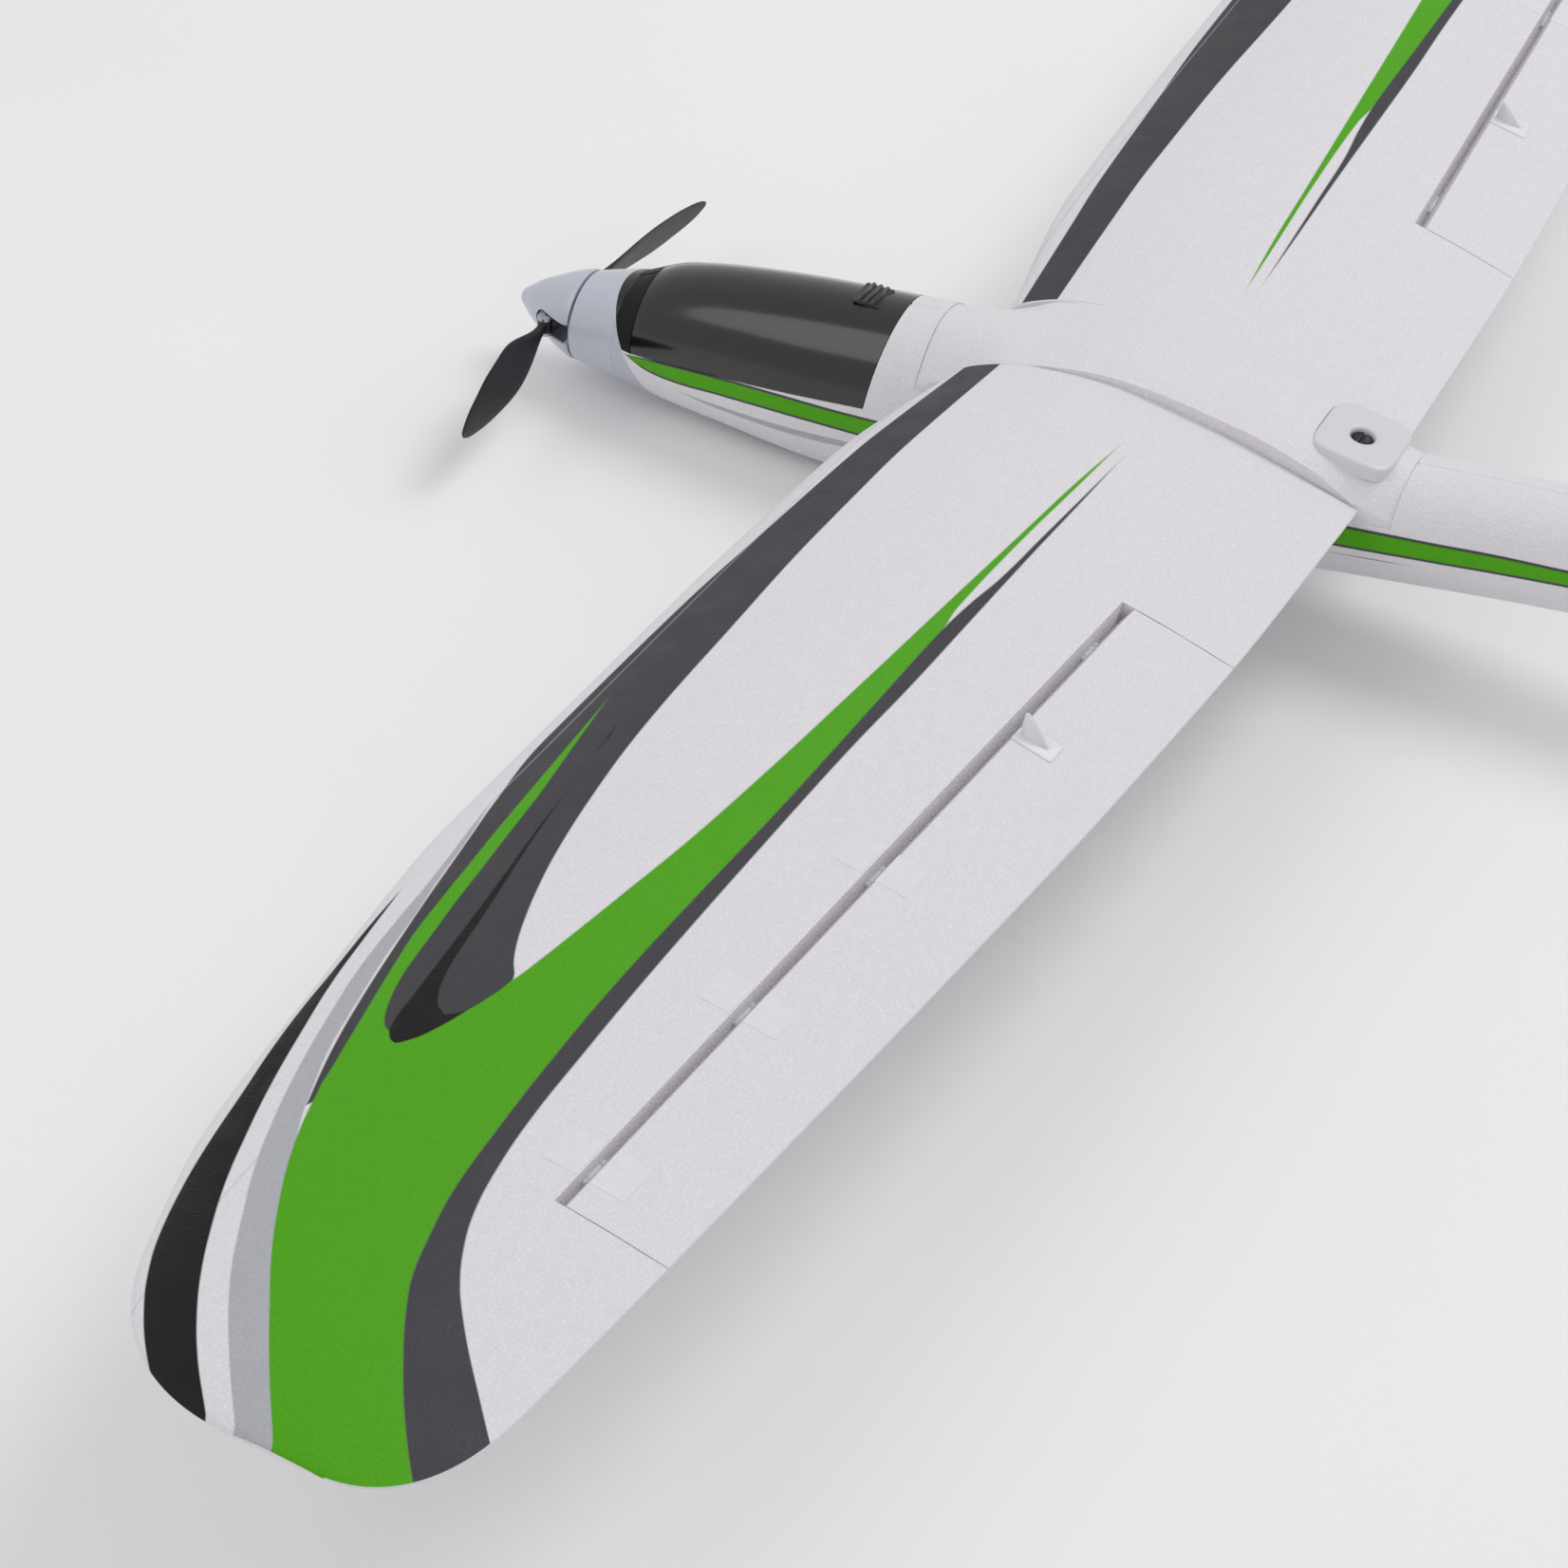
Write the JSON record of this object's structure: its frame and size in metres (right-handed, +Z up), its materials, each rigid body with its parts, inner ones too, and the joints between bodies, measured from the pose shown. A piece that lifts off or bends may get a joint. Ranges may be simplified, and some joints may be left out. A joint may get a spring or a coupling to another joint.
{
  "type": "radio-controlled sailplane",
  "caption": "Electric foam glider with a folding propeller, lift-off canopy hatch, bolted shoulder wing and hinged ailerons, elevator and rudder.",
  "frame": {"origin": "under the middle of the bounding box, on the plane that the flat belly rests on", "axes": "+X to the left wing tip, +Y to the tail along the thrust line, +Z up"},
  "size_m": [1.4978, 0.98, 0.278],
  "materials": {
    "fuselage_foam": "white moulded foam with fine beads and printed stripes",
    "left_wing_foam": "white moulded foam with printed swooshes",
    "right_wing_foam": "white moulded foam with printed swooshes",
    "tail_foam": "white moulded foam",
    "canopy_paint": "gloss black",
    "silver_plastic": "satin silver-white",
    "white_plastic": "translucent white moulded",
    "horn_nylon": "white nylon",
    "hinge_nylon": "white nylon",
    "servo_case": "black moulded",
    "steel_wire": "drawn wire",
    "blade_plastic": "matt black glass-filled nylon",
    "carbon_tube": "pultruded carbon",
    "plywood": "light plywood",
    "motor_steel": "ground steel",
    "motor_can": "turned and anodised",
    "battery_foil": "shrink-wrapped pouch cells",
    "strap_fabric": "hook and loop strap",
    "electronics_case": "moulded case"
  },
  "bodies": {
    "airframe": {"fuselage_left_half": "fuselage_foam", "fuselage_right_half": "fuselage_foam", "belly_skid": "white_plastic", "nose_cowl": "silver_plastic", "motor_mount": "plywood", "motor_stator": "motor_steel", "battery_tray": "plywood", "battery_pack": "battery_foil", "battery_strap": "strap_fabric", "speed_controller": "electronics_case", "receiver": "electronics_case", "wing_joiner": "carbon_tube", "left_wing_panel": "left_wing_foam", "right_wing_panel": "right_wing_foam", "left_root_rib": "white_plastic", "right_root_rib": "white_plastic", "wing_fairing": "fuselage_foam", "wing_bolt_plate": "white_plastic", "wing_bolt": "white_plastic", "left_aileron_servo": "servo_case", "right_aileron_servo": "servo_case", "elevator_servo": "servo_case", "rudder_servo": "servo_case", "vertical_fin": "tail_foam", "stabilizer": "tail_foam", "stabilizer_spar": "carbon_tube", "left_aileron_hinge_pins": "hinge_nylon", "right_aileron_hinge_pins": "hinge_nylon", "elevator_hinge_pins": "hinge_nylon", "rudder_hinge_pins": "hinge_nylon"},
    "left_aileron": {"left_aileron": "left_wing_foam", "left_aileron_hinge_eyes": "hinge_nylon", "left_aileron_horn": "horn_nylon"},
    "left_aileron_arm": {"left_aileron_servo_arm": "horn_nylon"},
    "left_aileron_rod": {"left_aileron_pushrod": "steel_wire"},
    "right_aileron": {"right_aileron": "right_wing_foam", "right_aileron_hinge_eyes": "hinge_nylon", "right_aileron_horn": "horn_nylon"},
    "right_aileron_arm": {"right_aileron_servo_arm": "horn_nylon"},
    "right_aileron_rod": {"right_aileron_pushrod": "steel_wire"},
    "elevator": {"elevator": "tail_foam", "elevator_hinge_eyes": "hinge_nylon", "elevator_horn": "horn_nylon"},
    "elevator_arm": {"elevator_servo_arm": "horn_nylon"},
    "elevator_rod": {"elevator_pushrod": "steel_wire"},
    "rudder": {"rudder": "tail_foam", "rudder_hinge_eyes": "hinge_nylon", "rudder_horn": "horn_nylon"},
    "rudder_arm": {"rudder_servo_arm": "horn_nylon"},
    "rudder_rod": {"rudder_pushrod": "steel_wire"},
    "propeller": {"spinner_backplate": "silver_plastic", "spinner_cone": "silver_plastic", "prop_hub": "motor_can", "blade_pins": "motor_steel", "motor_bell": "motor_can", "motor_shaft": "motor_steel"},
    "blade_a": {"blade_a": "blade_plastic"},
    "blade_b": {"blade_b": "blade_plastic"},
    "canopy_hatch": {"canopy_hatch": "canopy_paint"},
    "hatch_latch": {"hatch_latch": "canopy_paint"}
  },
  "joints": [
    {"name": "left_aileron_swing", "type": "hinge", "parent": "airframe", "child": "left_aileron", "pos_m": [0.173, -0.10489, 0.09268], "axis": [0.9971, -0.0443, 0.062], "range_deg": [-22, 22]},
    {"name": "left_aileron_arm_turn", "type": "hinge", "parent": "airframe", "child": "left_aileron_arm", "pos_m": [0.27049, -0.16426, 0.09524], "axis": [0.9971, -0.0443, 0.062], "range_deg": [-22, 22]},
    {"name": "left_aileron_rod_turn", "type": "hinge", "parent": "left_aileron_arm", "child": "left_aileron_rod", "pos_m": [0.2713, -0.16426, 0.08226], "axis": [0.9971, -0.0443, 0.062], "range_deg": [-22, 22]},
    {"name": "right_aileron_swing", "type": "hinge", "parent": "airframe", "child": "right_aileron", "pos_m": [-0.173, -0.10489, 0.09268], "axis": [0.9971, 0.0443, -0.062], "range_deg": [-22, 22]},
    {"name": "right_aileron_arm_turn", "type": "hinge", "parent": "airframe", "child": "right_aileron_arm", "pos_m": [-0.27049, -0.16426, 0.09524], "axis": [0.9971, 0.0443, -0.062], "range_deg": [-22, 22]},
    {"name": "right_aileron_rod_turn", "type": "hinge", "parent": "right_aileron_arm", "child": "right_aileron_rod", "pos_m": [-0.2713, -0.16426, 0.08226], "axis": [0.9971, 0.0443, -0.062], "range_deg": [-22, 22]},
    {"name": "elevator_swing", "type": "hinge", "parent": "airframe", "child": "elevator", "pos_m": [0, 0.436, 0.097], "axis": [1, 0, 0], "range_deg": [-20, 20]},
    {"name": "elevator_arm_turn", "type": "hinge", "parent": "airframe", "child": "elevator_arm", "pos_m": [0, 0.301, 0.097], "axis": [1, 0, 0], "range_deg": [-20, 20]},
    {"name": "elevator_rod_turn", "type": "hinge", "parent": "elevator_arm", "child": "elevator_rod", "pos_m": [0, 0.301, 0.084], "axis": [1, 0, 0], "range_deg": [-20, 20]},
    {"name": "rudder_swing", "type": "hinge", "parent": "airframe", "child": "rudder", "pos_m": [0, 0.43, 0.109], "axis": [0, 0, 1], "range_deg": [-25, 25]},
    {"name": "rudder_arm_turn", "type": "hinge", "parent": "airframe", "child": "rudder_arm", "pos_m": [0, 0.275, 0.109], "axis": [0, 0, 1], "range_deg": [-25, 25]},
    {"name": "rudder_rod_turn", "type": "hinge", "parent": "rudder_arm", "child": "rudder_rod", "pos_m": [0.013, 0.275, 0.109], "axis": [0, 0, 1], "range_deg": [-25, 25]},
    {"name": "prop_spin", "type": "hinge", "parent": "airframe", "child": "propeller", "pos_m": [0, -0.4561, 0.033], "axis": [0, 1, 0], "continuous": true},
    {"name": "blade_a_fold", "type": "hinge", "parent": "propeller", "child": "blade_a", "pos_m": [0.018, -0.4674, 0.033], "axis": [0, 0, 1], "range_deg": [-8, 54]},
    {"name": "blade_b_fold", "type": "hinge", "parent": "propeller", "child": "blade_b", "pos_m": [-0.018, -0.4674, 0.033], "axis": [0, 0, -1], "range_deg": [-8, 54]},
    {"name": "hatch_lift", "type": "hinge", "parent": "airframe", "child": "canopy_hatch", "pos_m": [0, -0.415, 0.06905], "axis": [1, 0, 0], "range_deg": [0, 40]},
    {"name": "latch_slide", "type": "slide", "parent": "canopy_hatch", "child": "hatch_latch", "axis": [0, -1, 0], "range_m": [0, 0.005]}
  ],
  "couplings": [
    {"joint": "left_aileron_arm_turn", "follows": "left_aileron_swing", "ratio": 1},
    {"joint": "left_aileron_rod_turn", "follows": "left_aileron_swing", "ratio": -1},
    {"joint": "right_aileron_arm_turn", "follows": "right_aileron_swing", "ratio": 1},
    {"joint": "right_aileron_rod_turn", "follows": "right_aileron_swing", "ratio": -1},
    {"joint": "elevator_arm_turn", "follows": "elevator_swing", "ratio": 1},
    {"joint": "elevator_rod_turn", "follows": "elevator_swing", "ratio": -1},
    {"joint": "rudder_arm_turn", "follows": "rudder_swing", "ratio": 1},
    {"joint": "rudder_rod_turn", "follows": "rudder_swing", "ratio": -1}
  ]
}
